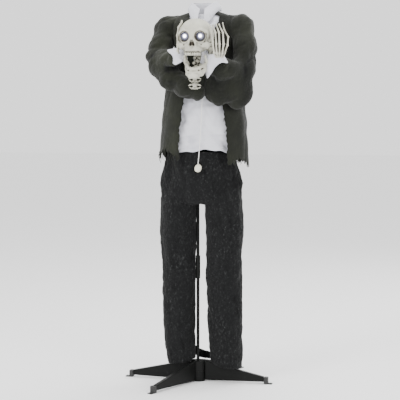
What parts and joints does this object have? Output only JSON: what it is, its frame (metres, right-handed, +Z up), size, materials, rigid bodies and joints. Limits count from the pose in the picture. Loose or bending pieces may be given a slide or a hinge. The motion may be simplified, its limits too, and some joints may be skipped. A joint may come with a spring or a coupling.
{
  "type": "halloween skeleton figure",
  "caption": "Life-size headless dressed figure on a folding pole stand, holding its own talking skull with lit eyes in skeletal hands.",
  "frame": {"origin": "on the floor at the middle of the lower hub's bottom face, on the pole's axis", "axes": "+Z up along the pole, the figure faces -Y, +X to the right of a viewer facing it"},
  "size_m": [0.6828, 0.6389, 1.7004],
  "materials": {
    "black_steel": "semi-gloss black powder coat, light scuffs",
    "foot_plastic": "matt black moulded plastic",
    "black_plastic": "matt black moulded plastic",
    "bare_steel": "zinc plated steel",
    "bone_plastic": "aged bone paint on moulded plastic, dark wash in the recesses",
    "eye_lens": "smoky translucent plastic",
    "eye_light": "white light-emitting diode, lit",
    "jacket_cloth": "dark olive grey woven cloth, frayed at the hem",
    "shirt_cloth": "white plain woven polyester",
    "gauze_cloth": "black open gauze, crumpled",
    "white_cord": "white braided cord",
    "cream_bead": "cream moulded plastic"
  },
  "bodies": {
    "stand": {"hub_upper": "black_steel", "leg_left": "black_steel", "leg_right": "black_steel", "foot_left": "foot_plastic", "foot_right": "foot_plastic", "lower_pole": "black_steel", "pole_coupler": "black_plastic"},
    "fold_bar": {"hub_lower": "black_steel", "leg_front": "black_steel", "leg_back": "black_steel", "foot_front": "foot_plastic", "foot_back": "foot_plastic"},
    "figure": {"upper_pole": "black_steel", "hip_block": "black_plastic", "waist_hoop": "black_steel", "spine_tube": "black_steel", "battery_box": "black_plastic", "speaker": "black_plastic", "arm_gearmotor": "black_plastic", "shoulder_bush_left": "black_plastic", "shoulder_bush_right": "black_plastic", "shoulder_yoke": "black_steel", "neck_stub": "black_plastic", "jacket_body": "jacket_cloth", "shirt_body": "shirt_cloth", "collar": "shirt_cloth", "trouser_seat": "gauze_cloth", "trouser_leg_left": "gauze_cloth", "trouser_leg_right": "gauze_cloth", "pull_cord": "white_cord", "cord_slider": "cream_bead", "cord_bead": "cream_bead"},
    "arms": {"shoulder_axle": "bare_steel", "shoulder_joint_left": "black_plastic", "shoulder_joint_right": "black_plastic", "upper_arm_left": "black_steel", "upper_arm_right": "black_steel", "elbow_left": "black_plastic", "elbow_right": "black_plastic", "forearm_left": "black_steel", "forearm_right": "black_steel", "hand_left": "bone_plastic", "hand_right": "bone_plastic", "sleeve_left": "jacket_cloth", "sleeve_right": "jacket_cloth", "cuff_left": "shirt_cloth", "cuff_right": "shirt_cloth", "skull_shell": "bone_plastic", "eye_lens_left": "eye_lens", "eye_lens_right": "eye_lens", "eye_led_left": "eye_light", "eye_led_right": "eye_light", "jaw_motor": "black_plastic", "neck_vertebra_upper": "bone_plastic", "neck_vertebra_lower": "bone_plastic"},
    "jaw": {"lower_jaw": "bone_plastic", "jaw_pin": "bare_steel"},
    "battery_cover": {"battery_door": "black_plastic"},
    "switch_slider": {"power_switch": "bare_steel"}
  },
  "joints": [
    {"name": "fold_base", "type": "hinge", "parent": "stand", "child": "fold_bar", "pos_m": [0, 0, 0.02], "axis": [0, 0, 1], "range_deg": [-28, 76]},
    {"name": "pole_turn", "type": "hinge", "parent": "stand", "child": "figure", "pos_m": [0, 0, 0.54], "axis": [0, 0, 1], "continuous": true},
    {"name": "arms_raise", "type": "hinge", "parent": "figure", "child": "arms", "pos_m": [0.03, 0.005, 1.575], "axis": [-1, 0, 0], "range_deg": [0, 16]},
    {"name": "jaw_close", "type": "hinge", "parent": "arms", "child": "jaw", "pos_m": [0.05, -0.207, 1.47], "axis": [-1, 0, 0], "range_deg": [0, 22]},
    {"name": "battery_door_slide", "type": "slide", "parent": "figure", "child": "battery_cover", "axis": [0, 0, -1], "range_m": [0, 0.04]},
    {"name": "power_switch_slide", "type": "slide", "parent": "figure", "child": "switch_slider", "axis": [1, 0, 0], "range_m": [0, 0.008]}
  ]
}
